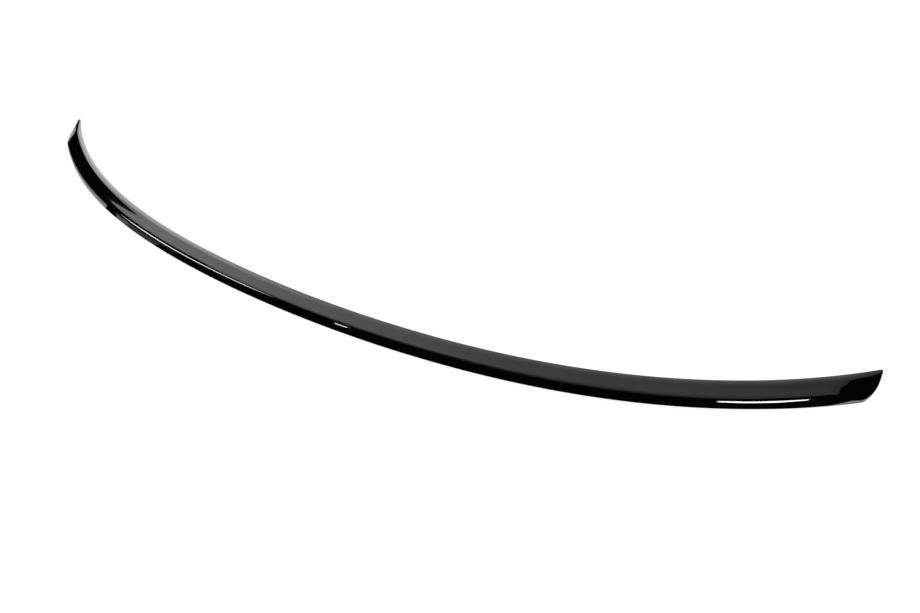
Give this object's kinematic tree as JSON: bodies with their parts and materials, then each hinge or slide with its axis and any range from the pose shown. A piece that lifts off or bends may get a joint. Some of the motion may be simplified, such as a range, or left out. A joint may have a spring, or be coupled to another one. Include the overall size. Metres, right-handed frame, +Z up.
{
  "type": "trunk lid lip spoiler",
  "caption": "Slender bowed trunk lid lip spoiler with a rolled front edge, a raised rear lip, a hollow underside and pointed tips that sweep forward.",
  "frame": {"origin": "middle of the overall length and depth, on the plane the part rests on", "axes": "+X to the right seen from behind the car, +Y towards the front of the car, where the tips point, +Z up"},
  "size_m": [1.2006, 0.1968, 0.0239],
  "materials": {
    "gloss_black": "high gloss black, moulded in one colour and clear coated"
  },
  "bodies": {
    "root": {"spoiler_shell": "gloss_black"}
  },
  "joints": []
}
